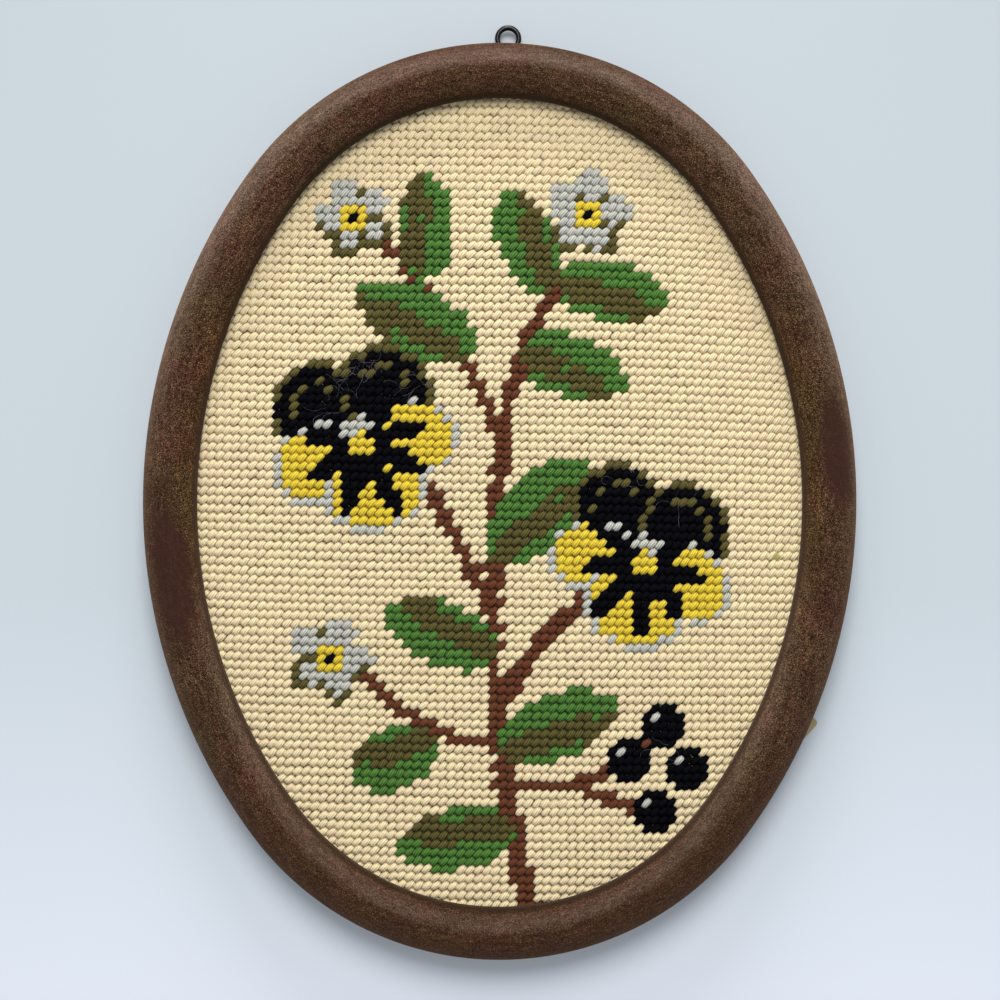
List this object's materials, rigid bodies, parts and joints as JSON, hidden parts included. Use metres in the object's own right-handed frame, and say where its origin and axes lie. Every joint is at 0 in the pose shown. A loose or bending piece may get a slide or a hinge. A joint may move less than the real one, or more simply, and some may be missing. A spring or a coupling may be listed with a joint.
{
  "type": "framed needlepoint picture with oval frame",
  "caption": "Oval needlepoint picture of wool tent stitches, held behind the lip of a rounded oval frame, with a backing card and a wire eye at the top to hang it by.",
  "frame": {"origin": "centre of the bounding box's bottom face, where the picture rests on its back", "axes": "+X to the picture's right, +Y towards its top and the wire eye, +Z out of its face"},
  "size_m": [0.1778, 0.235, 0.015],
  "materials": {
    "frame_flock": "dark brown flock with fine tan flecks, velvety at its edges and rubbed smooth in patches",
    "wool_cream": "matte two-ply wool yarn in slanting tent stitches, cream ground with coloured motifs",
    "card": "matte grey-brown pulp card",
    "paper_tape": "aged tan paper tape, slightly shiny",
    "black_wire": "glossy black enamelled wire"
  },
  "bodies": {
    "root": {"frame": "frame_flock", "needlepoint": "wool_cream", "backing_board": "card", "tape_strip": "paper_tape", "screw_eye": "black_wire"}
  },
  "joints": []
}
